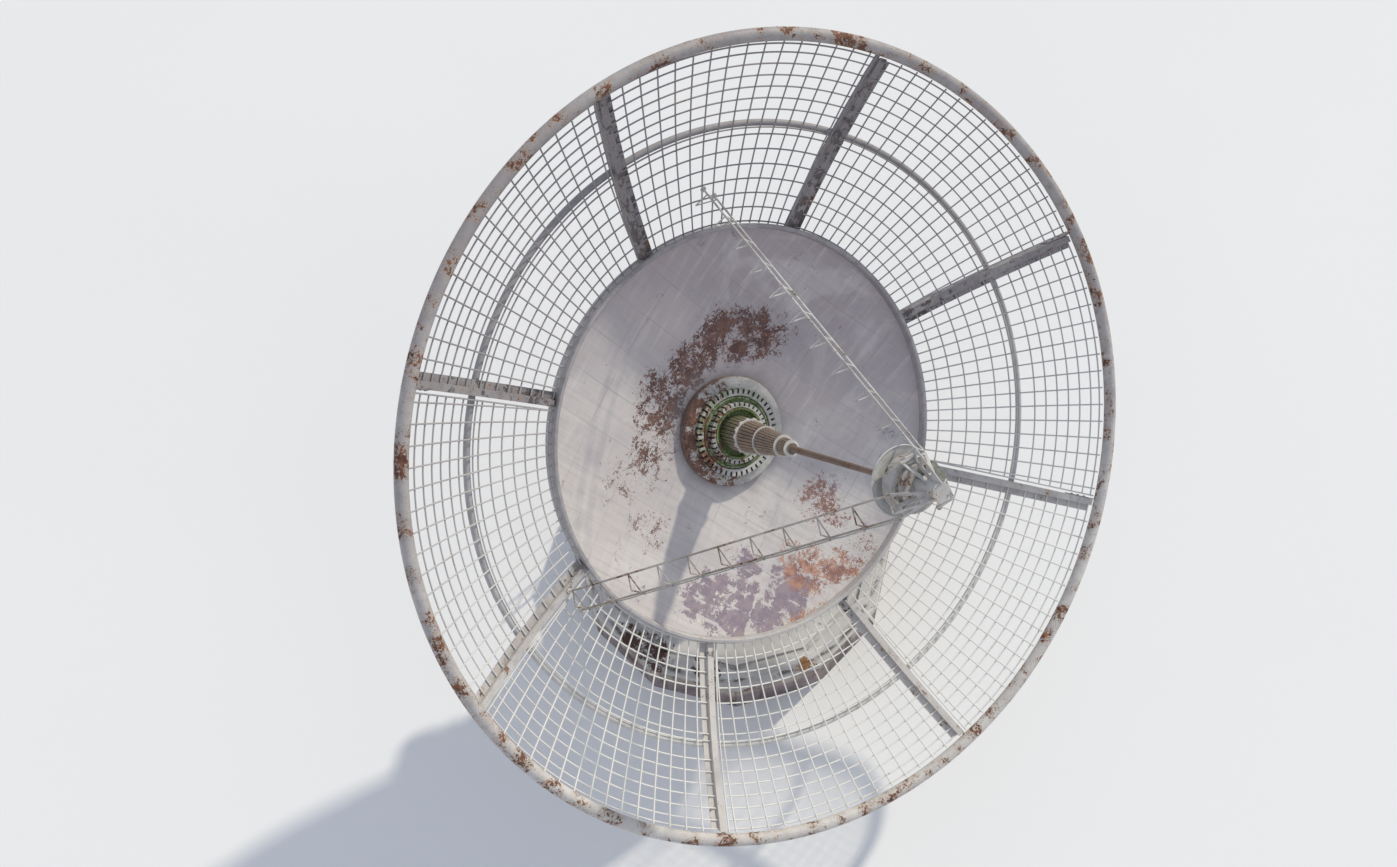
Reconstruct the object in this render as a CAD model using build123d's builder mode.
from build123d import *
import copy
import math
import os

# Radio dish, 12 m across: a tilted open-grid reflector with a tripod and feed, carried by an
# azimuth-elevation mount on a twelve-sided plinth.
# Origin at the centre of the plinth on the ground, +Z up, the reflector faces -Y. Units: mm.

# ---------------------------------------------------------------- shared dimensions
# Reflector and its elevation axis, which runs along X
RIM_R = 6000.0
FOCAL = 3600.0
TILT = math.radians(44.0)  # elevation of the reflector axis above the horizon
AXIS_Y = 600.0
AXIS_Z = 4540.0
VERTEX_OFF = 750.0  # elevation axis to reflector vertex

# Radial ribs, one per bay of the reflector
RIB_COUNT = 8
BAY = 360 / RIB_COUNT
BAYS_AROUND = [BAY * k for k in range(RIB_COUNT)]
RIB_W = 105.0
RIB_TOP = 25.0  # above the reflecting surface

# Plinth (twelve-sided)
SIDES = 12
BASE_TURN = 20.0
SKIRT_R = 3050.0
WALL_R = 2860.0
WALL_IN = 2660.0
DECK_Z = 915.0  # top of the deck, just below the wall top

# Gearing
MODULE = 20.0
PRESSURE = math.radians(20)
FLANK_CUT = 0.9  # taken off each tooth flank
RING_N = 70
SECTOR_N = 80
PINION_N = 18
SECTOR_X = -560.0

GAP = 2.0  # usual clearance between neighbouring pieces
BORE_CLEAR = 0.06  # radial clearance of the close-fitting bores

os.makedirs("parts", exist_ok=True)

# Reflector frame: origin at the vertex, x up the dish, y towards -X, z along its axis
DISH = Plane(
    origin=(0, AXIS_Y - math.cos(TILT) * VERTEX_OFF, AXIS_Z + math.sin(TILT) * VERTEX_OFF),
    x_dir=(0, math.sin(TILT), math.cos(TILT)),
    z_dir=(0, -math.cos(TILT), math.sin(TILT)),
)
DISH_AXIS = Axis(DISH.origin, DISH.z_dir)


# ---------------------------------------------------------------- helpers
def surf(radius):
    """Height of the paraboloid above its vertex."""
    return radius * radius / (4 * FOCAL)


def slope(radius):
    """Slope of the paraboloid along the radius."""
    return 2 * radius / (4 * FOCAL)


def above(radius, lift):
    """Point (radius, height) at a lift above the paraboloid."""
    return radius, surf(radius) + lift


def dish_point(radius, angle, height):
    x, y = polar(radius, math.radians(angle))
    return DISH.from_local_coords(Vector(x, y, height))


def dish_dir(radial_part, angle, axial_part, tangent_part=0.0):
    """Direction with radial, axial and tangential components at an angle."""
    turn = math.radians(angle)
    r_dir = DISH.x_dir * math.cos(turn) + DISH.y_dir * math.sin(turn)
    t_dir = DISH.y_dir * math.cos(turn) - DISH.x_dir * math.sin(turn)
    return r_dir * radial_part + DISH.z_dir * axial_part + t_dir * tangent_part


def radial(angle):
    """Plane through the reflector axis; x is the radius, y the axis."""
    r_dir = dish_dir(1, angle, 0)
    return Plane(origin=DISH.origin, x_dir=r_dir, z_dir=r_dir.cross(DISH.z_dir))


def polar(radius, turn):
    """Flat point from a radius and an angle in radians."""
    return radius * math.cos(turn), radius * math.sin(turn)


def wavy_outline(count, stations):
    """Closed outline repeating (fraction of a step, radius) stations around a circle."""
    step = 2 * math.pi / count
    return [polar(radius, step * (k + part)) for k in range(count) for part, radius in stations]


def strip(inner, outer, top, low):
    """Closed line of a strip between two shifted copies of the parabola."""
    mid, control = (inner + outer) / 2, inner * outer / (4 * FOCAL)
    Bezier(above(inner, top), (mid, control + top), above(outer, top))
    Line(above(outer, top), above(outer, low))
    Bezier(above(outer, low), (mid, control + low), above(inner, low))
    Line(above(inner, low), above(inner, top))


def lathe(outline):
    """Closed outline of (radius, height) points turned about the reflector axis."""
    with BuildPart() as turned:
        with BuildSketch(SIDE):
            with BuildLine():
                Polyline(*outline, close=True)
            make_face()
        revolve(axis=DISH_AXIS, revolution_arc=360)
    return turned.part


def around(part, angles):
    """Separate copies of one piece turned about the reflector axis."""
    return Compound(
        [copy.copy(solid).rotate(DISH_AXIS, angle) for angle in angles for solid in part.solids()]
    )


def group(*parts):
    """Separate pieces gathered in one compound."""
    return Compound([solid for part in parts for solid in part.solids()])


def bar(start, end, radius):
    """Round bar between two points."""
    direction = end - start
    with BuildPart() as one:
        with BuildSketch(Plane(origin=start, z_dir=direction)):
            Circle(radius)
        extrude(amount=direction.length)
    return one.part


def both_sides(inner, thickness):
    """Low x of two plates whose near faces stand at +inner and -inner."""
    return inner, -inner - thickness


def write(shape, name):
    shape.label = name
    export_step(shape, f"parts/{name}.step")


def dodecagon(radius, mode=Mode.ADD):
    RegularPolygon(radius, SIDES, rotation=BASE_TURN, mode=mode)


def face_plane(radius, angle, height):
    """Plane on a flat of the plinth; x runs along it, y up, z outwards."""
    turn = math.radians(angle)
    x, y = polar(radius * math.cos(math.pi / SIDES), turn)
    return Plane(
        origin=(x, y, height),
        x_dir=(-math.sin(turn), math.cos(turn), 0),
        z_dir=(math.cos(turn), math.sin(turn), 0),
    )


def outer_top_edges(builder, radius):
    return [
        edge
        for edge in builder.edges().group_by(Axis.Z)[-1]
        if math.hypot(edge.center().X, edge.center().Y) > radius * 0.95
    ]


def root_radius(teeth):
    return MODULE * teeth / 2 - 1.25 * MODULE


def gear_outline(teeth, phase, first=0, count=None):
    """Outline points of an external gear with straight-segment flanks."""
    pitch_r = MODULE * teeth / 2
    base_r = pitch_r * math.cos(PRESSURE)
    tip_r = pitch_r + 0.92 * MODULE
    root_r = root_radius(teeth)
    flank_r = max(base_r, root_r)
    half = math.pi / (2 * teeth) - FLANK_CUT / pitch_r

    def half_angle(radius):
        alpha = math.acos(min(1.0, base_r / radius))
        return half + (math.tan(PRESSURE) - PRESSURE) - (math.tan(alpha) - alpha)

    radii = [flank_r + (tip_r - flank_r) * i / 4 for i in range(5)]
    flank = [(radius, half_angle(radius)) for radius in radii]
    if root_r < base_r - 0.5:
        flank.insert(0, (root_r, half_angle(radii[0])))
    points = []
    for k in range(first, first + (count or teeth)):
        mid = math.radians(phase) + 2 * math.pi * k / teeth
        points += [polar(radius, mid - turn) for radius, turn in flank]
        points += [polar(radius, mid + turn) for radius, turn in reversed(flank)]
    return points


# Side view of the reflector: x is up the dish, y along its axis, z towards +X
SIDE = radial(0)

# ================================================================ plinth
SKIRT_H = 900.0
WALL_H = 930.0
ANCHOR_R = 2955
DECK_T = 140
GUTTER_DEPTH = 50
CABLE_Z = 500.0
CABLE_FACE = math.radians(155)  # direction of the cable entry, towards -X and +Y
CABLE_R = 60
DOOR_FACE = 95.0  # direction of the face that carries the hatch
DOOR_W = 800.0
DOOR_H = 600.0
DOOR_Z = 140.0
OPENING_DEPTH = 700  # radial length of the cutters for the hatch opening
CABLE_CUT = 3200  # length of the cutters for the cable entry

CABLE_PLANE = Plane(
    origin=(0, 0, CABLE_Z), z_dir=(math.cos(CABLE_FACE), math.sin(CABLE_FACE), 0)
)

with BuildPart() as footing_skirt:
    with BuildSketch(Plane.XY):
        dodecagon(SKIRT_R)
        dodecagon(WALL_R + 4, Mode.SUBTRACT)
    extrude(amount=SKIRT_H)
    chamfer(outer_top_edges(footing_skirt, SKIRT_R), 35)
    # anchor holes run down through the ledge at the twelve corners
    with BuildSketch(Plane.XY):
        with PolarLocations(ANCHOR_R, SIDES, start_angle=BASE_TURN):
            Circle(16)
    extrude(amount=SKIRT_H, mode=Mode.SUBTRACT)
    # gap for the access hatch
    with BuildSketch(Plane.XY.offset(DOOR_Z - 60)):
        with Locations(Location((0, 0, 0), (0, 0, DOOR_FACE))):
            with Locations((SKIRT_R, 0)):
                Rectangle(OPENING_DEPTH, DOOR_W + 170)
    extrude(amount=SKIRT_H, mode=Mode.SUBTRACT)
    # clearance around the cable entry
    with BuildSketch(CABLE_PLANE):
        Circle(CABLE_R + 15)
    extrude(amount=CABLE_CUT, mode=Mode.SUBTRACT)
write(footing_skirt.part, "footing_skirt")

with BuildPart() as plinth_wall:
    with BuildSketch(Plane.XY):
        dodecagon(WALL_R)
        dodecagon(WALL_IN, Mode.SUBTRACT)
    extrude(amount=WALL_H)
    chamfer(outer_top_edges(plinth_wall, WALL_R), 30)
    with BuildSketch(Plane.XY.offset(DOOR_Z)):
        with Locations(Location((0, 0, 0), (0, 0, DOOR_FACE))):
            with Locations((WALL_R, 0)):
                Rectangle(OPENING_DEPTH, DOOR_W + 20)
    extrude(amount=DOOR_H + 20, mode=Mode.SUBTRACT)
    with BuildSketch(CABLE_PLANE):
        Circle(CABLE_R)
    extrude(amount=CABLE_CUT, mode=Mode.SUBTRACT)
write(plinth_wall.part, "plinth_wall")

with BuildPart() as floor_slab:
    with BuildSketch(Plane.XY):
        dodecagon(WALL_IN - 4)
    extrude(amount=120)
write(floor_slab.part, "floor_slab")

with BuildPart() as deck_slab:
    with BuildSketch(Plane.XY.offset(DECK_Z - DECK_T)):
        dodecagon(WALL_IN - 4)
    extrude(amount=DECK_T - GUTTER_DEPTH)
    # shallow gutter left between the raised field and the wall
    with BuildSketch(Plane.XY.offset(DECK_Z - GUTTER_DEPTH)):
        dodecagon(WALL_IN - 100)
    extrude(amount=GUTTER_DEPTH)
    with BuildSketch(Plane.XY.offset(DECK_Z - DECK_T)):
        Circle(330)
    extrude(amount=200, mode=Mode.SUBTRACT)
write(deck_slab.part, "deck_slab")

# ---------------------------------------------------------------- hatch in the +Y face
HATCH = face_plane(WALL_R, DOOR_FACE, DOOR_Z + 10 + DOOR_H / 2)
HINGE_X = -DOOR_W / 2 - 20  # pin centre along the face
HINGE_OUT = 31  # pin centre out from the wall
PIN_R = 10
KNUCKLE_W = 44
KNUCKLE_H = 58
FIXED_Y = (-210, 150)  # centres of the fixed hinge blocks
LEAF_Y = [y + KNUCKLE_H + GAP for y in FIXED_Y]  # leaf knuckles sit above them
LEAF_X = 6  # sideways shift of the leaf
LEAF_OUT = 17
LEAF_T = 8
SPINDLE_X = DOOR_W / 2 - 120
SPINDLE_R = 12


def hinge_plane(height):
    """Level plane on the hinge line at a height in the hatch frame."""
    origin = HATCH.from_local_coords(Vector(HINGE_X, height, HINGE_OUT))
    return Plane(origin=origin, z_dir=(0, 0, 1))


with BuildPart() as hatch_frame:
    # (start out from the wall face, depth, growth over the door size)
    for start, depth, margin in ((-60, 58, 16), (2, 12, 120), (-2, 4, 16)):
        with BuildSketch(HATCH.offset(start)):
            Rectangle(DOOR_W + margin, DOOR_H + margin)
            Rectangle(DOOR_W - 80, DOOR_H - 80, mode=Mode.SUBTRACT)
        extrude(amount=depth)
    # fixed hinge blocks
    with BuildSketch(HATCH.offset(14)):
        with Locations(*[(-DOOR_W / 2 - 22, y) for y in FIXED_Y]):
            Rectangle(KNUCKLE_W, KNUCKLE_H)
    extrude(amount=34)
    with BuildSketch(hinge_plane(0)):
        Circle(PIN_R + BORE_CLEAR)
    extrude(amount=500, both=True, mode=Mode.SUBTRACT)
write(hatch_frame.part, "hatch_frame")

with BuildPart() as hatch_leaf:
    with BuildSketch(HATCH.offset(LEAF_OUT)):
        with Locations((LEAF_X, 0)):
            Rectangle(DOOR_W - 20, DOOR_H - 20)
    extrude(amount=LEAF_T)
    # raised rectangular frame on the outer face
    with BuildSketch(HATCH.offset(LEAF_OUT + LEAF_T)):
        with Locations((LEAF_X, 0)):
            Rectangle(DOOR_W - 140, DOOR_H - 140)
            Rectangle(DOOR_W - 180, DOOR_H - 180, mode=Mode.SUBTRACT)
    extrude(amount=14)
    # hinge knuckles
    with BuildSketch(HATCH.offset(LEAF_OUT)):
        with Locations(*[(-DOOR_W / 2 + 2, y) for y in LEAF_Y]):
            Rectangle(KNUCKLE_W, KNUCKLE_H)
    extrude(amount=26)
    for y in LEAF_Y:
        with BuildSketch(hinge_plane(y - KNUCKLE_H / 2)):
            Circle(16)
        extrude(amount=KNUCKLE_H)
    with BuildSketch(hinge_plane(0)):
        Circle(PIN_R + BORE_CLEAR)
    extrude(amount=500, both=True, mode=Mode.SUBTRACT)
    # spindle hole for the handle
    with BuildSketch(HATCH.offset(10)):
        with Locations((SPINDLE_X, 0)):
            Circle(SPINDLE_R + BORE_CLEAR)
    extrude(amount=40, mode=Mode.SUBTRACT)
write(hatch_leaf.part, "hatch_leaf")

with BuildPart() as hinge_pins:
    for y in FIXED_Y:
        with BuildSketch(hinge_plane(y - 40)):
            Circle(PIN_R)
        extrude(amount=140)
write(hinge_pins.part, "hinge_pins")

with BuildPart() as hatch_handle:
    with BuildSketch(HATCH.offset(9)):
        with Locations((SPINDLE_X, 0)):
            Circle(SPINDLE_R)
    extrude(amount=44)
    with BuildSketch(HATCH.offset(41)):
        with Locations((SPINDLE_X - 60, 0)):
            Rectangle(150, 26)
    extrude(amount=16)
    out_axis = Axis(HATCH.origin, HATCH.z_dir)
    fillet(hatch_handle.edges().filter_by(out_axis).group_by(SortBy.LENGTH)[0], 5)
write(hatch_handle.part, "hatch_handle")

# ---------------------------------------------------------------- vents on the skirt
VENT_FACES = (65, 125)
VENT_Z = 520
VENT_W = 500  # clear opening
VENT_H = 260

with BuildPart() as wall_vents:
    for face in VENT_FACES:
        vent = face_plane(SKIRT_R, face, VENT_Z)
        with BuildSketch(vent.offset(2)):
            Rectangle(VENT_W + 60, VENT_H + 60)
            Rectangle(VENT_W, VENT_H, mode=Mode.SUBTRACT)
        extrude(amount=30)
        # slats, let into the frame at both ends
        with BuildSketch(vent.offset(4)):
            with GridLocations(1, 52, 1, 5):
                Rectangle(VENT_W + 4, 16)
        extrude(amount=20)
write(wall_vents.part, "wall_vents")

# ================================================================ pedestal
PED_FOOT_Z = DECK_Z + GAP
PED_FOOT_T = 40
PED_CONE_Z = PED_FOOT_Z + PED_FOOT_T
PED_HEAD_Z = 3080
PED_HEAD_T = 60
PED_BOLT_R = 1190
PED_BOLTS = 24
PED_NUT_Z = PED_CONE_Z + 1
PED_NUT_T = 22

with BuildPart() as pedestal:
    with BuildSketch(Plane.XY.offset(PED_FOOT_Z)):
        Circle(1250)
    extrude(amount=PED_FOOT_T)
    with BuildSketch(Plane.XY.offset(PED_CONE_Z)):
        dodecagon(1130)
    with BuildSketch(Plane.XY.offset(PED_HEAD_Z)):
        dodecagon(760)
    loft(ruled=True)
    with BuildSketch(Plane.XY.offset(PED_HEAD_Z)):
        Circle(780)
    extrude(amount=PED_HEAD_T)
    # hollow inside
    with BuildSketch(Plane.XY.offset(DECK_Z)):
        Circle(940)
    with BuildSketch(Plane.XY.offset(PED_HEAD_Z + 70)):
        Circle(400)
    loft(ruled=True, mode=Mode.SUBTRACT)
    with BuildSketch(Plane.XY.offset(DECK_Z)):
        with PolarLocations(PED_BOLT_R, PED_BOLTS):
            Circle(15)
    extrude(amount=50, mode=Mode.SUBTRACT)
write(pedestal.part, "pedestal")

with BuildPart() as pedestal_bolts:
    with BuildSketch(Plane.XY.offset(PED_NUT_Z)):
        with PolarLocations(PED_BOLT_R, PED_BOLTS):
            RegularPolygon(26, 6)
    extrude(amount=PED_NUT_T)
    with BuildSketch(Plane.XY.offset(PED_NUT_Z + PED_NUT_T)):
        with PolarLocations(PED_BOLT_R, PED_BOLTS):
            Circle(14)
    extrude(amount=24)
write(pedestal_bolts.part, "pedestal_bolts")

# ---------------------------------------------------------------- ladders
LADDER_W = 400  # between stile centres
LADDER_FACE = 125
LADDER_X = 430  # first stile, along the plinth face
COLUMN_LADDER_LOW = Vector(0, 1175, DECK_Z + 70)
COLUMN_LADDER_TOP = Vector(0, 860, 3060)
COLUMN_RUNGS = 7

with BuildPart() as wall_ladder:
    stile = face_plane(SKIRT_R, LADDER_FACE, 0).offset(60)
    for x in (LADDER_X, LADDER_X + LADDER_W):
        with BuildSketch(Plane(origin=stile.from_local_coords(Vector(x, 0, 0)), z_dir=(0, 0, 1))):
            Circle(20)
        extrude(amount=1400)
    for height in (280, 560, 840, 1120):
        rung_start = stile.from_local_coords(Vector(LADDER_X, height, 0))
        with BuildSketch(Plane(origin=rung_start, z_dir=stile.x_dir)):
            Circle(12)
        extrude(amount=LADDER_W)

with BuildPart() as pedestal_ladder:
    # up the +Y side of the tapering column
    run = COLUMN_LADDER_TOP - COLUMN_LADDER_LOW
    for x in (-LADDER_W / 2, LADDER_W / 2):
        with BuildSketch(Plane(origin=COLUMN_LADDER_LOW + Vector(x, 0, 0), z_dir=run)):
            Circle(18)
        extrude(amount=run.length)
    for k in range(1, COLUMN_RUNGS + 1):
        rung = COLUMN_LADDER_LOW + run * (k / (COLUMN_RUNGS + 1))
        with BuildSketch(Plane(origin=rung + Vector(-LADDER_W / 2, 0, 0), z_dir=(1, 0, 0))):
            Circle(11)
        extrude(amount=LADDER_W)
write(group(wall_ladder.part, pedestal_ladder.part), "access_ladders")

with BuildPart() as junction_box:
    with BuildSketch(Plane.XY.offset(DECK_Z + GAP)):
        with Locations((-1350, 1250)):
            Rectangle(420, 300)
    extrude(amount=560)
    fillet(junction_box.edges().filter_by(Axis.Z), 25)
write(junction_box.part, "junction_box")

# ---------------------------------------------------------------- slewing ring
RING_Z = PED_HEAD_Z + PED_HEAD_T + GAP
RACE_R = 560
RACE_Z = 3160
RACE_T = 80

# ring gear on the pedestal head
with BuildPart() as slew_ring_gear:
    with BuildSketch(Plane.XY.offset(RING_Z)):
        with BuildLine():
            Polyline(*gear_outline(RING_N, phase=90.0), close=True)
        make_face()
        Circle(RACE_R, mode=Mode.SUBTRACT)
        with PolarLocations(620, 24):
            Circle(13, mode=Mode.SUBTRACT)
    extrude(amount=80)
write(slew_ring_gear.part, "slew_ring_gear")

with BuildPart() as slew_inner_race:
    with BuildSketch(Plane.XY.offset(RACE_Z)):
        Circle(RACE_R - 0.05)
        Circle(430, mode=Mode.SUBTRACT)
    extrude(amount=RACE_T)
write(slew_inner_race.part, "slew_inner_race")

# ================================================================ azimuth carriage
TABLE_Z = RACE_Z + RACE_T + GAP
TABLE_T = 60
TABLE_Y = 280  # centre of the turntable
MOUNT_Z = TABLE_Z + TABLE_T + GAP  # underside of what stands on the turntable
AZ_DRIVE = (0, MODULE * (RING_N + PINION_N) / 2)
EL_DRIVE = (AXIS_Y, AXIS_Z - MODULE * (SECTOR_N + PINION_N) / 2)
DRIVE_SHAFT_R = 45
CHEEK_X = 950
CHEEK_T = 60
HOUSING_X = 880
HOUSING_W = 200
HOUSING_R = 210
TRUNNION_R = 90

with BuildPart() as turntable:
    with BuildSketch(Plane.XY.offset(TABLE_Z)):
        with Locations((0, TABLE_Y)):
            Rectangle(2160, 1680)
        Circle(300, mode=Mode.SUBTRACT)
        with Locations(AZ_DRIVE):
            Circle(DRIVE_SHAFT_R + BORE_CLEAR, mode=Mode.SUBTRACT)
    extrude(amount=TABLE_T)
    # the two corners at +Y
    upright = turntable.edges().filter_by(Axis.Z)
    chamfer(upright.group_by(SortBy.LENGTH)[-1].sort_by(Axis.Y)[-2:], 260)
    # upstand near the -Y edge
    with BuildSketch(Plane.XY.offset(TABLE_Z + TABLE_T)):
        with Locations((0, -430)):
            Rectangle(1820, 60)
    extrude(amount=140)
write(turntable.part, "turntable")


def yoke(x_low):
    """Cheek plate with a stiffening foot, in the plane x = const."""
    side = 1 if x_low > 0 else -1
    with BuildPart() as cheek:
        with BuildSketch(Plane.YZ.offset(x_low)):
            with BuildLine():
                # (y, z)
                Polyline(
                    (-500, MOUNT_Z), (1060, MOUNT_Z), (1060, 3420), (860, 4700), (780, 4840),
                    (420, 4840), (340, 4700), (-500, 3420), close=True,
                )
            make_face()
            with Locations((AXIS_Y, AXIS_Z)):
                Circle(HOUSING_R + 2, mode=Mode.SUBTRACT)
            with Locations((330, 3720)):
                RegularPolygon(230, 3, rotation=90, mode=Mode.SUBTRACT)
            with Locations((700, 3640)):
                Circle(150, mode=Mode.SUBTRACT)
        extrude(amount=CHEEK_T)
        with BuildSketch(Plane.XY.offset(MOUNT_Z)):
            with Locations((x_low + CHEEK_T / 2 + side * 45, TABLE_Y)):
                Rectangle(150, 1500)
        extrude(amount=26)
    return cheek.part


def housing(x_low):
    """Round trunnion bearing block set through a cheek."""
    with BuildPart() as block:
        with BuildSketch(Plane.YZ.offset(x_low)):
            with Locations((AXIS_Y, AXIS_Z)):
                Circle(HOUSING_R)
                Circle(TRUNNION_R + 0.05, mode=Mode.SUBTRACT)
        extrude(amount=HOUSING_W)
        rims = block.edges().filter_by(GeomType.CIRCLE).group_by(SortBy.RADIUS)[-1]
        chamfer(rims, 14)
    return block.part


write(group(*[yoke(x) for x in both_sides(CHEEK_X, CHEEK_T)]), "yoke_cheeks")
write(group(*[housing(x) for x in both_sides(HOUSING_X, HOUSING_W)]), "bearing_housings")

with BuildPart() as azimuth_gearbox:
    # (start, height, radius) of the body and of the drum on top of it
    for start, height, radius in ((MOUNT_Z, 250, 165), (MOUNT_Z + 250, 300, 115)):
        with BuildSketch(Plane.XY.offset(start)):
            with Locations(AZ_DRIVE):
                Circle(radius)
        extrude(amount=height)
    # fins around the drum
    with BuildSketch(Plane.XY.offset(3600)):
        with Locations(AZ_DRIVE):
            with PolarLocations(118, 16):
                Rectangle(22, 9)
    extrude(amount=220)
    with BuildSketch(Plane.XY.offset(MOUNT_Z)):
        with Locations(AZ_DRIVE):
            Circle(DRIVE_SHAFT_R + 1)
    extrude(amount=60, mode=Mode.SUBTRACT)
write(azimuth_gearbox.part, "azimuth_gearbox")


def pinion(base, centre, phase, width, shaft_start, shaft_length):
    """Toothed pinion with a round shaft along the normal of the base plane."""
    with BuildPart() as gear:
        with BuildSketch(base):
            with Locations(centre):
                with BuildSketch(mode=Mode.PRIVATE) as tooth_face:
                    with BuildLine():
                        Polyline(*gear_outline(PINION_N, phase), close=True)
                    make_face()
                add(tooth_face.sketch)
        extrude(amount=width)
        with BuildSketch(base.offset(shaft_start)):
            with Locations(centre):
                Circle(DRIVE_SHAFT_R)
        extrude(amount=shaft_length)
    return gear.part


# a gap between pinion teeth faces the ring-gear tooth at +Y
azimuth_pinion = pinion(
    Plane.XY.offset(3150), AZ_DRIVE, phase=-90.0 + 180.0 / PINION_N,
    width=72, shaft_start=72, shaft_length=130,
)
write(azimuth_pinion, "azimuth_pinion")

EL_BOX_X = -350
EL_BOX_W = 290

with BuildPart() as elevation_gearbox:
    with BuildSketch(Plane.XY.offset(MOUNT_Z)):
        with Locations((EL_BOX_X, AXIS_Y)):
            Rectangle(EL_BOX_W, 360)
    extrude(amount=400)
    fillet(elevation_gearbox.edges().filter_by(Axis.Z), 30)
    # drum on the +X side
    with BuildSketch(Plane.YZ.offset(EL_BOX_X + EL_BOX_W / 2)):
        with Locations(EL_DRIVE):
            Circle(110)
    extrude(amount=330)
    with BuildSketch(Plane.YZ.offset(-500)):
        with Locations(EL_DRIVE):
            Circle(DRIVE_SHAFT_R + 1)
    extrude(amount=60, mode=Mode.SUBTRACT)
write(elevation_gearbox.part, "elevation_gearbox")

# below the sector, with a gap between teeth facing straight up
elevation_pinion = pinion(
    Plane.YZ.offset(SECTOR_X - 35), EL_DRIVE, phase=90.0 + 180.0 / PINION_N,
    width=80, shaft_start=75, shaft_length=74,
)
write(elevation_pinion, "elevation_pinion")

# ================================================================ elevation frame
SECTOR_FIRST = -5  # first tooth, counted from straight down
SECTOR_TEETH = 18
SECTOR_IN = 150
TUBE_R = 180
TUBE_HALF = 700
DRUM_LOW = -420  # bottom of the hub drum, along the reflector axis
DRUM_R = 900

sector_root = root_radius(SECTOR_N)
sector_low, sector_high = [
    math.radians(-90 + 360 / SECTOR_N * tooth)
    for tooth in (SECTOR_FIRST - 0.5, SECTOR_FIRST + SECTOR_TEETH - 0.5)
]
with BuildPart() as sector_gear:
    with BuildSketch(Plane.YZ.offset(SECTOR_X - 35)):
        with Locations((AXIS_Y, AXIS_Z)):
            with BuildSketch(mode=Mode.PRIVATE) as sector_face:
                with BuildLine():
                    Polyline(
                        polar(SECTOR_IN, sector_low),
                        polar(sector_root, sector_low),
                        *gear_outline(SECTOR_N, -90.0, SECTOR_FIRST, SECTOR_TEETH),
                        polar(sector_root, sector_high),
                        polar(SECTOR_IN, sector_high),
                        close=True,
                    )
                make_face()
                Circle(260)
                for degrees in (-104, -84, -64, -44):
                    with Locations(polar(520, math.radians(degrees))):
                        Circle(70, mode=Mode.SUBTRACT)
                Circle(TUBE_R + 2, mode=Mode.SUBTRACT)
            add(sector_face.sketch)
    extrude(amount=70)
write(sector_gear.part, "sector_gear")

with BuildPart() as cradle:
    with BuildSketch(Plane.YZ.offset(-TUBE_HALF)):
        with Locations((AXIS_Y, AXIS_Z)):
            Circle(TUBE_R)
    extrude(amount=2 * TUBE_HALF)
    # plates from the tube up to the hub drum
    for x_low in (-650, 610):
        with BuildSketch(SIDE.offset(x_low)):
            with BuildLine():
                Polyline(
                    (-560, DRUM_LOW - GAP), (560, DRUM_LOW - GAP), (240, -950), (-240, -950),
                    close=True,
                )
            make_face()
        extrude(amount=40)
    # hollow in the tube, closed at both ends
    with BuildSketch(Plane.YZ.offset(10 - TUBE_HALF)):
        with Locations((AXIS_Y, AXIS_Z)):
            Circle(TUBE_R - 20)
    extrude(amount=2 * (TUBE_HALF - 10), mode=Mode.SUBTRACT)
    # bolting flange under the hub drum
    with BuildSketch(DISH.offset(DRUM_LOW - GAP - 24)):
        Circle(760)
        Circle(500, mode=Mode.SUBTRACT)
    extrude(amount=24)
write(cradle.part, "cradle")


def trunnion(side):
    """Collar and shaft at one end of the cradle tube; side is +1 or -1."""
    with BuildPart() as shaft:
        # (start, length, radius)
        for start, length, radius in (
            (TUBE_HALF + GAP, 30, 170),
            (TUBE_HALF + GAP + 30, 560, TRUNNION_R),
        ):
            with BuildSketch(Plane.YZ.offset(side * start)):
                with Locations((AXIS_Y, AXIS_Z)):
                    Circle(radius)
            extrude(amount=side * length)
    return shaft.part


write(group(trunnion(1), trunnion(-1)), "trunnion_shafts")

ARM_X = 1140
ARM_T = 60
WEIGHT_T = 240

with BuildPart() as counterweight_arms:
    for x_low in both_sides(ARM_X, ARM_T):
        with BuildSketch(SIDE.offset(x_low)):
            with BuildLine():
                Polyline(
                    (-190, -640), (190, -640), (190, -800), (120, -1760), (-120, -1760),
                    (-190, -800), close=True,
                )
            make_face()
            with Locations((0, -VERTEX_OFF)):
                Circle(TRUNNION_R + 0.4, mode=Mode.SUBTRACT)
        extrude(amount=ARM_T)
write(counterweight_arms.part, "counterweight_arms")

with BuildPart() as counterweights:
    for x_low in both_sides(ARM_X + ARM_T + GAP, WEIGHT_T):
        with BuildSketch(SIDE.offset(x_low)):
            with Locations((0, -1500)):
                Rectangle(560, 480)
        extrude(amount=WEIGHT_T)
    chamfer(counterweights.edges().filter_by(Axis.X), 25)
write(counterweights.part, "counterweights")

# ================================================================ reflector centre
SKIN_R = 3262.0
SKIN_T = 14.0
BACK_TOP = -18  # top of the backing structure, from the reflecting surface
BACK_LOW = -238
DRUM_FLOOR = DRUM_LOW + 20
LIP_IN = 3264.0
LIP_OUT = 3330.0

# annular floor with an inner and an outer wall
hub_drum = lathe([
    (180, DRUM_LOW), (DRUM_R, DRUM_LOW), above(DRUM_R, BACK_TOP), above(884, BACK_TOP),
    (884, DRUM_FLOOR), (520, DRUM_FLOOR), above(520, BACK_TOP), above(508, BACK_TOP),
    (508, DRUM_FLOOR), (180, DRUM_FLOOR),
])
write(hub_drum, "hub_drum")

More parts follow.
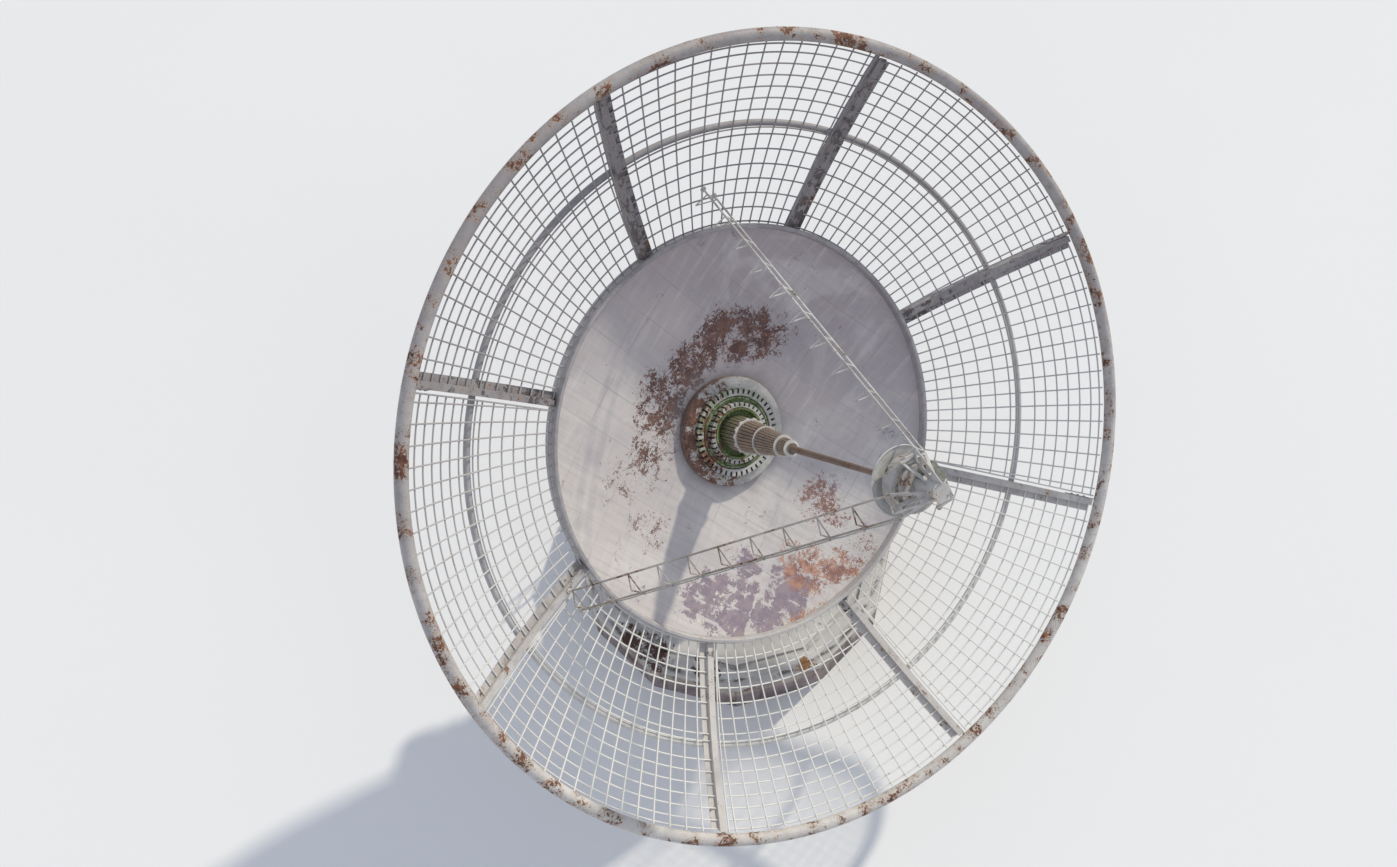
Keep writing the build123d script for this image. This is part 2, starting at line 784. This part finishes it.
with BuildPart() as beam:
    # web, top flange and bottom flange: (offset, width, top, low)
    for offset, width, top, low in (
        (-58, 12, BACK_TOP, BACK_LOW),
        (-102, 100, BACK_TOP, BACK_TOP - 12),
        (-102, 100, BACK_LOW + 12, BACK_LOW),
    ):
        with BuildSketch(SIDE.offset(offset)):
            with BuildLine():
                strip(DRUM_R + 6, SKIN_R - 2, top, low)
            make_face()
        extrude(amount=width)
write(around(beam.part, BAYS_AROUND), "backing_beams")

# hollow box section under the beams
with BuildPart() as back_ring:
    with BuildSketch(SIDE):
        with BuildLine():
            Polyline(
                above(2140, -246), above(2260, -246), above(2260, -330), above(2140, -330),
                close=True,
            )
        make_face()
        with BuildLine():
            Polyline(
                above(2150, -254), above(2250, -254), above(2250, -322), above(2150, -322),
                close=True,
            )
        make_face(mode=Mode.SUBTRACT)
    revolve(axis=DISH_AXIS, revolution_arc=BAY - 0.04)
write(around(back_ring.part, BAYS_AROUND), "backing_ring")

with BuildPart() as reflector_skin:
    with BuildSketch(SIDE):
        with BuildLine():
            strip(600, SKIN_R, 0, -SKIN_T)
        make_face()
    revolve(axis=DISH_AXIS, revolution_arc=360)
write(reflector_skin.part, "reflector_skin")

lip_ring = lathe([
    (LIP_IN, 742), (LIP_IN, 866), (LIP_IN + 14, 885), (LIP_OUT - 14, 885), (LIP_OUT, 866),
    (LIP_OUT, 520), (LIP_IN + 6, 520), (LIP_IN + 6, 532), (LIP_OUT - 12, 532),
    (LIP_OUT - 12, 860), (LIP_IN + 12, 860), (LIP_IN + 12, 742),
])
write(lip_ring, "lip_ring")

# ================================================================ ribs and rings
RIB_DEPTH = 215.0  # below the reflecting surface
RIB_WALL = 8.0
FLANGE_W = 110.0
RIB_R0 = LIP_OUT + 4
RIB_R1 = 5806.0
MID_R = 4790.0
MID_TUBE_R = 50.0
MID_DROP = 140.0
RIM_TUBE_R = 95.0
RIM_CENTRE = (RIM_R - RIM_TUBE_R, 2420.0)  # radius, height
BRACKET_T = 12


def bay_span(near, far, radius):
    """Start and stop angles leaving the given widths free at the two ends of a bay."""
    start = math.degrees(math.asin(near / radius))
    stop = BAY - math.degrees(math.asin(far / radius))
    return start, stop


# each rib is a box from its radial plane to RIB_W beyond it, hollow and open at the outer
# end, with a thin side flange on the other side of that plane
with BuildPart() as rib:
    with BuildSketch(SIDE.offset(-RIB_W)):
        with BuildLine():
            strip(RIB_R0, RIB_R1, RIB_TOP, -RIB_DEPTH)
        make_face()
    extrude(amount=RIB_W)
    with BuildSketch(SIDE.offset(-RIB_W + RIB_WALL)):
        with BuildLine():
            strip(RIB_R0 + 10, RIB_R1 + 20, RIB_TOP - 10, -RIB_DEPTH + 10)
        make_face()
    extrude(amount=RIB_W - 2 * RIB_WALL, mode=Mode.SUBTRACT)
    with BuildSketch(SIDE.offset(-4)):
        with BuildLine():
            strip(RIB_R0, RIB_R1, -60, -72)
        make_face()
    extrude(amount=4 + FLANGE_W)
write(around(rib.part, BAYS_AROUND), "radial_ribs")

with BuildPart() as ring_arc:
    start, stop = bay_span(RIB_W + GAP, GAP, MID_R - MID_TUBE_R)
    with BuildSketch(radial(start)):
        with Locations(above(MID_R, -MID_DROP)):
            Circle(MID_TUBE_R)
            Circle(MID_TUBE_R - 6, mode=Mode.SUBTRACT)
    revolve(axis=DISH_AXIS, revolution_arc=stop - start)
write(around(ring_arc.part, BAYS_AROUND), "mid_ring")

with BuildPart() as rim_arc:
    with BuildSketch(SIDE):
        with Locations(RIM_CENTRE):
            Circle(RIM_TUBE_R)
            Circle(RIM_TUBE_R - 8, mode=Mode.SUBTRACT)
    revolve(axis=DISH_AXIS, revolution_arc=BAY - 0.005)
write(around(rim_arc.part, [BAY / 2 + turn for turn in BAYS_AROUND]), "rim_tube")

# plates on the rib sides, cut out around the rim tube
with BuildPart() as rim_plate:
    with BuildSketch(SIDE.offset(-RIB_W - GAP - BRACKET_T)):
        with BuildLine():
            Polyline(
                above(5560, -200), above(5560, -40), above(5790, -20),
                (5905, 2340), (5985, 2330), (5930, 2260), close=True,
            )
        make_face()
        with Locations(RIM_CENTRE):
            Circle(RIM_TUBE_R + 4, mode=Mode.SUBTRACT)
    extrude(amount=BRACKET_T)
write(around(rim_plate.part, BAYS_AROUND), "rim_brackets")

with BuildPart() as rib_bolt:
    for radius in (5600, 5680, 5760):
        with BuildSketch(SIDE.offset(-RIB_W - 28)):
            with Locations(above(radius, -110)):
                RegularPolygon(20, 6)
        extrude(amount=13)
write(around(rib_bolt.part, BAYS_AROUND), "rim_bracket_bolts")

# ================================================================ wire grids
WIRE_R = 12.0
RADIAL_DROP = 14.0
HOOP_DROP = 40.0
WIRES_PER_BAY = 15
WIRE_STEP = BAY / (WIRES_PER_BAY + 1)  # degrees between radial wires
EDGE_GAP = 60.0  # rib side to border wire
INNER_HOOPS = (3368, 3580, 3790, 4000, 4210, 4420, 4625, 4718)
OUTER_HOOPS = (4960, 5110, 5260, 5405, 5550, 5690, 5796)


def long_wire(inner, outer, lateral):
    """Eight-sided wire just behind the surface, parallel to the radius at a side distance."""
    side = SIDE.offset(-lateral)
    start, middle, end = [
        above(radius, -RADIAL_DROP) for radius in (inner, (inner + outer) / 2, outer)
    ]
    with BuildPart() as wire:
        with BuildLine(side):
            ThreePointArc(start, middle, end)
        origin = side.from_local_coords(Vector(*start, 0))
        with BuildSketch(Plane(origin=origin, z_dir=dish_dir(1, 0, slope(inner)))):
            RegularPolygon(WIRE_R, 8)
        sweep()
    return wire.part


def hoop_wire(radius):
    """Circumferential wire behind the radial ones, from border wire to rib."""
    start, stop = bay_span(RIB_W + EDGE_GAP, 3.0, radius)
    with BuildPart() as wire:
        with BuildSketch(radial(start)):
            with Locations(above(radius, -HOOP_DROP)):
                RegularPolygon(WIRE_R, 8)
        revolve(axis=DISH_AXIS, revolution_arc=stop - start)
    return wire.part


def grid(inner, outer, hoops):
    """Radial wires, border wires beside the ribs and hoops of one ring of panels."""
    turns = [turn + WIRE_STEP * j for turn in BAYS_AROUND for j in range(1, WIRES_PER_BAY + 1)]
    return group(
        around(long_wire(inner, outer, 0), turns),
        around(long_wire(inner, outer, RIB_W + EDGE_GAP), BAYS_AROUND),
        *[around(hoop_wire(radius), BAYS_AROUND) for radius in hoops],
    )


write(grid(3340, MID_R - 1, INNER_HOOPS), "inner_grid")
write(grid(MID_R + 1, 5824, OUTER_HOOPS), "outer_grid")

# ================================================================ tripod
# name: (angle about the reflector axis, corners of the frames that carry a chord)
LEGS = {
    "leg_upper": (-17.0, (0, 2)),
    "leg_left": (94.0, (0, 1)),
    "leg_right": (219.0, (0, 1)),
}
LEG_FOOT_R = 3790.0
LEG_FOOT_Z = surf(LEG_FOOT_R) + 120.0
APEX_Z = 5784.0  # where the leg axes cross the reflector axis
LEG_SHORT = 700.0  # legs stop this far from the axis crossing
LEG_HALF = 185.0  # half the base of the triangular frames
LEG_BACK = 50.0  # base of the frame, inboard of the leg axis
LEG_PEAK = 105.0  # third corner, outboard of it
CHORD_R = 15.0
FRAME_R = 10.0
FRAME_BAYS = 10
RIB_MARGIN = 60  # a post this close to a rib stands on the rib
POST_LIMIT = 400

LEG_RUN = math.hypot(LEG_FOOT_R, APEX_Z - LEG_FOOT_Z)
LEG_SIN = LEG_FOOT_R / LEG_RUN
LEG_COS = (APEX_Z - LEG_FOOT_Z) / LEG_RUN
LEG_LEN = LEG_RUN - LEG_SHORT


def leg_frame(angle):
    """Foot point of a leg and its along, across and outward directions."""
    return (
        dish_point(LEG_FOOT_R, angle, LEG_FOOT_Z),
        dish_dir(-LEG_SIN, angle, LEG_COS),
        dish_dir(0, angle, 0, 1),
        dish_dir(LEG_COS, angle, LEG_SIN),
    )


def corner_offsets(across, out):
    return [
        across * -LEG_HALF - out * LEG_BACK,
        across * LEG_HALF - out * LEG_BACK,
        out * LEG_PEAK,
    ]


def leg(angle, chords):
    """Long chords with triangular frames of round bar spaced along them."""
    foot, along, across, out = leg_frame(angle)
    corners = corner_offsets(across, out)
    pieces = []
    for i in chords:
        pieces.append(bar(foot + corners[i], foot + corners[i] + along * LEG_LEN, CHORD_R))
    for k in range(FRAME_BAYS + 1):
        here = foot + along * (LEG_LEN * k / FRAME_BAYS * 0.996 + FRAME_R)
        for i in range(3):
            pieces.append(bar(here + corners[i], here + corners[(i + 1) % 3], FRAME_R))
    return group(*pieces)


def dish_polar(point):
    """Radius, angle in degrees and height of a point in the reflector frame."""
    local = DISH.to_local_coords(point)
    return math.hypot(local.X, local.Y), math.degrees(math.atan2(local.Y, local.X)), local.Z


def over_rib(radius, turn):
    past_rib = (turn + 10) % BAY - 10
    return -RIB_MARGIN < radius * math.sin(math.radians(past_rib)) < RIB_W + RIB_MARGIN


def post_end(begin, along):
    """Run a post down to just above the wires, or to the top of a rib."""
    length = 0.0
    while True:
        end = begin - along * length
        radius, turn, height = dish_polar(end)
        lift = RIB_TOP + 12 if over_rib(radius, turn) else 8
        if height <= surf(radius) + lift or length > POST_LIMIT:
            return end
        length += 1.0


def leg_foot(begin, along):
    """Post under one chord and the round pad it stands on."""
    end = post_end(begin, along)
    radius, turn, _ = dish_polar(end)
    normal = dish_dir(-slope(radius), turn, 1).normalized()
    lift = RIB_TOP + 4 if over_rib(radius, turn) else 3
    seat = dish_point(radius, turn, surf(radius)) + normal * lift
    return [bar(begin, end, CHORD_R - 1), bar(seat, seat + normal * 12, 46)]


feet = []
for leg_name, (leg_angle, leg_chords) in LEGS.items():
    write(leg(leg_angle, leg_chords), leg_name)
    foot, along, across, out = leg_frame(leg_angle)
    corners = corner_offsets(across, out)
    for i in leg_chords:
        feet += leg_foot(foot + corners[i] - along * GAP, along)
write(group(*feet), "leg_feet")

# ---------------------------------------------------------------- apex
SLEEVE_R = 100
SLEEVE_Z = 5150
SLIDE_R = 70
SLIDE_IN = 56
WEB_T = 12

with BuildPart() as apex_hub:
    with BuildSketch(DISH.offset(5440)):
        Circle(132)
    extrude(amount=262)
    for leg_angle, _ in LEGS.values():
        foot, along, across, out = leg_frame(leg_angle)
        end = foot + along * (LEG_LEN + GAP + 2 * FRAME_R)
        # web plate in the plane of the leg, lightened by round holes
        with BuildSketch(Plane(origin=end - across * (WEB_T / 2), x_dir=along, z_dir=across)):
            with BuildLine():
                Polyline((0, -72), (0, 124), (560, 88), (560, -44), close=True)
            make_face()
            for x, y, radius in ((96, 30, 52), (222, 27, 44), (332, 24, 36)):
                with Locations((x, y)):
                    Circle(radius, mode=Mode.SUBTRACT)
        extrude(amount=WEB_T)
        # cross plate joining the two inboard corners, cut out between its edges
        with BuildSketch(Plane(origin=end - out * 57, x_dir=along, z_dir=out)):
            with BuildLine():
                Polyline((0, -205), (0, 205), (470, 70), (470, -70), close=True)
            make_face()
            for side in (-1, 1):
                with BuildLine():
                    Polyline(
                        (34, 158 * side), (34, 22 * side), (300, 22 * side), (300, 68 * side),
                        close=True,
                    )
                make_face(mode=Mode.SUBTRACT)
        extrude(amount=WEB_T)
    with BuildSketch(DISH.offset(5300)):
        Circle(SLEEVE_R + 0.05)
    extrude(amount=322, mode=Mode.SUBTRACT)
write(apex_hub.part, "apex_hub")

with BuildPart() as guide_sleeve:
    # barrel and end flange: (start, length, radius)
    for start, length, radius in ((SLEEVE_Z, 460, SLEEVE_R), (SLEEVE_Z - 50, 50, 170)):
        with BuildSketch(DISH.offset(start)):
            Circle(radius)
            Circle(SLIDE_R + BORE_CLEAR, mode=Mode.SUBTRACT)
        extrude(amount=length)
write(guide_sleeve.part, "guide_sleeve")

# stepped drum around the sleeve flange, behind the secondary reflector
DRIVE_TOP = 5236
focus_drive = lathe([
    (SLEEVE_R + 0.05, 5152), (352, 5152), (352, 4960), (378, 4960), (378, 5164), (364, 5178),
    (290, 5178), (290, 5222), (276, DRIVE_TOP), (SLEEVE_R + 0.05, DRIVE_TOP),
])
write(focus_drive, "focus_drive")

# box standing on the drum
BOX_DIR = dish_dir(1, -79.0, 0)
BOX_Z = DRIVE_TOP + GAP
BOX_H = 112
LID_Z = BOX_Z + BOX_H + GAP
LID_T = 14
LID_OUT = 219  # lid centre from the reflector axis


def box_plane(height):
    return Plane(origin=dish_point(0, 0, height), x_dir=BOX_DIR, z_dir=DISH.z_dir)


with BuildPart() as equipment_box:
    with BuildSketch(box_plane(BOX_Z)):
        with Locations((LID_OUT - 2, 0)):
            Rectangle(226, 290)
    extrude(amount=BOX_H)
    chamfer(equipment_box.edges().filter_by(DISH_AXIS).sort_by(SortBy.LENGTH)[-2:], 18)
write(equipment_box.part, "equipment_box")

with BuildPart() as equipment_lid:
    with BuildSketch(box_plane(LID_Z)):
        with Locations((LID_OUT, 0)):
            RectangleRounded(220, 304, 14)
    extrude(amount=LID_T)
    with BuildSketch(box_plane(LID_Z + LID_T)):
        with Locations((LID_OUT, 0)):
            Circle(26)
    extrude(amount=20)
write(equipment_lid.part, "equipment_lid")

# ---------------------------------------------------------------- subreflector
MAST_R = 40.0
SUB_R = 480.0
SUB_Z = 4850.0
SUB_BORE = MAST_R + 0.08
# (radius, height from SUB_Z)
SUB_PROFILE = (
    (SUB_BORE, -70), (150, -66), (320, -44), (440, -18), (SUB_R - 6, 0),
    (SUB_R, 14), (SUB_R - 8, 26), (440, 6), (320, -20), (150, -42),
    (130, -42), (130, 20), (SUB_BORE, 20),
)
write(lathe([(radius, SUB_Z + height) for radius, height in SUB_PROFILE]), "subreflector")

with BuildPart() as slide_tube:
    # foot flange and tube: (start, length, radius)
    for start, length, radius in ((SUB_Z + 22, 16, 120), (SUB_Z + 38, 640, SLIDE_R)):
        with BuildSketch(DISH.offset(start)):
            Circle(radius)
            Circle(SLIDE_IN, mode=Mode.SUBTRACT)
        extrude(amount=length)
write(slide_tube.part, "slide_tube")

with BuildPart() as slide_bolts:
    with BuildSketch(DISH.offset(SUB_Z + 39)):
        with PolarLocations(98, 8):
            RegularPolygon(13, 6)
    extrude(amount=12)
write(slide_bolts.part, "slide_bolts")

# ================================================================ feed
FEED_R = 904.0
FEED_IN = FEED_R - 16
FEED_TOP = 218
FEED_SEAT = FEED_TOP + GAP  # underside of the rings on the flange

with BuildPart() as feed_base_flange:
    with BuildSketch(SIDE):
        with BuildLine():
            Polyline(above(FEED_IN, 2), above(FEED_R, 2), (FEED_R, 150))
            ThreePointArc((FEED_R, 150), (FEED_R - 14, 184), (FEED_R - 48, 200))
            Polyline(
                (FEED_R - 48, 200), (780, FEED_TOP), (110, FEED_TOP), (110, 202), (776, 202),
                (FEED_R - 54, 184), (FEED_IN, 146), above(FEED_IN, 2),
            )
        make_face()
    revolve(axis=DISH_AXIS, revolution_arc=360)
write(feed_base_flange.part, "feed_base_flange")


def louvre(inner, outer, height, count, slot_w, slot_in):
    """Ring on the flange with radial slots cut into its outer part."""
    with BuildPart() as ring:
        with BuildSketch(DISH.offset(FEED_SEAT)):
            Circle(outer)
            Circle(inner, mode=Mode.SUBTRACT)
        extrude(amount=height)
        chamfer(ring.edges().filter_by(GeomType.CIRCLE).group_by(DISH_AXIS)[-1], 9)
        # slots through the outer wall
        with BuildSketch(DISH.offset(FEED_SEAT + 26)):
            with PolarLocations((slot_in + outer) / 2 + 20, count):
                Rectangle(outer - slot_in + 40, slot_w)
        extrude(amount=height - 40, mode=Mode.SUBTRACT)
        # shorter slots through the top
        with BuildSketch(DISH.offset(FEED_SEAT + height - 24)):
            with PolarLocations((slot_in + outer - 22) / 2, count):
                Rectangle(outer - slot_in - 22, slot_w)
        extrude(amount=30, mode=Mode.SUBTRACT)
    return ring.part


lower_ring = louvre(inner=600, outer=716, height=96, count=44, slot_w=34, slot_in=640)
write(lower_ring, "lower_louvre_ring")
upper_ring = louvre(inner=420, outer=500, height=172, count=34, slot_w=28, slot_in=448)
write(upper_ring, "upper_louvre_ring")

trough_ring = lathe([
    (504, FEED_SEAT), (596, FEED_SEAT), (596, 262), (580, 300), (560, 306), (545, 268),
    (516, 262), (504, 262),
])
write(trough_ring, "trough_ring")

horn_bowl = lathe([
    (416, 400), (416, 380), (400, 236), (300, 222), (120, 222), (120, 250),
    (290, 252), (372, 268), (388, 396),
])
write(horn_bowl, "horn_bowl")

# ---------------------------------------------------------------- horn and mast
FLUTE_WALL = 12  # left inside the flutes
# (low height, top height, low radius, top radius, flutes, flute depth at the low end)
HORN_SECTIONS = (
    (254, 736, 284, 268, 28, 14),
    (772, 1236, 262, 226, 28, 13),
    (1252, 1792, 216, 160, 28, 11),
    (1808, 2026, 138, 122, 20, 8),
)
# (start height, thickness, radius); the last is a packing ring under the mast flange
COLLARS = ((1238, 12, 234), (1794, 12, 176), (2028, 14, 132), (2042, 14, 96))
CROWN_STATIONS = ((0.0, 296), (0.34, 304), (0.5, 282), (0.84, 280))
MAST_Z = 2058
MAST_TAPER_TOP = 4700


def fluted(radius, flutes, depth):
    floor = radius - depth
    return wavy_outline(flutes, ((0.0, floor), (0.28, floor), (0.38, radius), (0.90, radius)))


def fluted_cone(low, top, low_r, top_r, flutes, depth):
    """Hollow cone with grooves running up its outside."""
    top_depth = depth * top_r / low_r
    with BuildPart() as cone:
        with BuildSketch(DISH.offset(low)):
            with BuildLine():
                Polyline(*fluted(low_r, flutes, depth), close=True)
            make_face()
        with BuildSketch(DISH.offset(top)):
            with BuildLine():
                Polyline(*fluted(top_r, flutes, top_depth), close=True)
            make_face()
        loft(ruled=True)
        with BuildSketch(DISH.offset(low)):
            Circle(low_r - depth - FLUTE_WALL)
        with BuildSketch(DISH.offset(top)):
            Circle(top_r - depth - FLUTE_WALL)
        loft(ruled=True, mode=Mode.SUBTRACT)
    return cone.part


write(group(*[fluted_cone(*section) for section in HORN_SECTIONS]), "fluted_horn")

# notched crown where the two lowest horn sections meet, plain collars above
with BuildPart() as horn_collars:
    with BuildSketch(DISH.offset(738)):
        with BuildLine():
            Polyline(*wavy_outline(14, CROWN_STATIONS), close=True)
        make_face()
    extrude(amount=32)
    for start, thickness, radius in COLLARS:
        with BuildSketch(DISH.offset(start)):
            Circle(radius)
        extrude(amount=thickness)
write(horn_collars.part, "horn_collars")

with BuildPart() as mast:
    with BuildSketch(DISH.offset(MAST_Z)):
        Circle(52)
    with BuildSketch(DISH.offset(MAST_TAPER_TOP)):
        Circle(MAST_R)
    loft()
    with BuildSketch(DISH.offset(MAST_TAPER_TOP)):
        Circle(MAST_R)
    extrude(amount=390)
    # foot flange
    with BuildSketch(DISH.offset(MAST_Z)):
        Circle(86)
    extrude(amount=24)
write(mast.part, "feed_mast")
